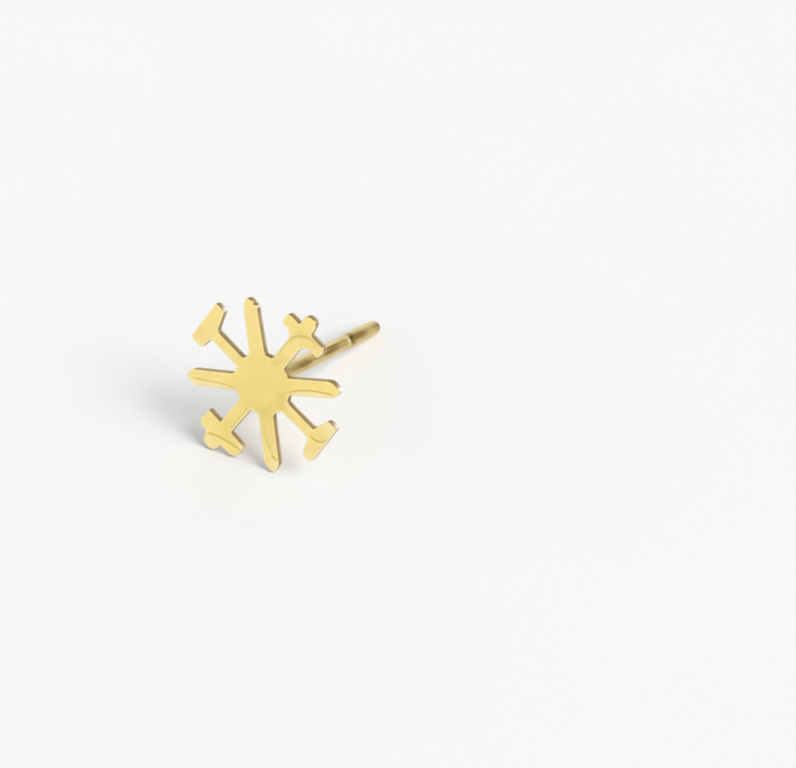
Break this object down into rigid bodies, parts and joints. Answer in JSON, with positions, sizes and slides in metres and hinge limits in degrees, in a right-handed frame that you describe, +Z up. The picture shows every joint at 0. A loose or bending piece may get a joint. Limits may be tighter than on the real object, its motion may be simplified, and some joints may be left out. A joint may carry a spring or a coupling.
{
  "type": "snowflake stud earring",
  "caption": "Small gold-coloured stud earring: a flat snowflake with plain, hammer-headed and crossed arms on a straight grooved ear post.",
  "frame": {"origin": "on the surface that the stud rests on, under the middle of its own box", "axes": "+Z up, +Y the way the ear post points level with the surface, +X to the right as seen from the snowflake's front"},
  "size_m": [0.0092, 0.0138, 0.0087],
  "materials": {
    "gold": "polished"
  },
  "bodies": {
    "root": {"snowflake_stud": "gold"}
  },
  "joints": []
}
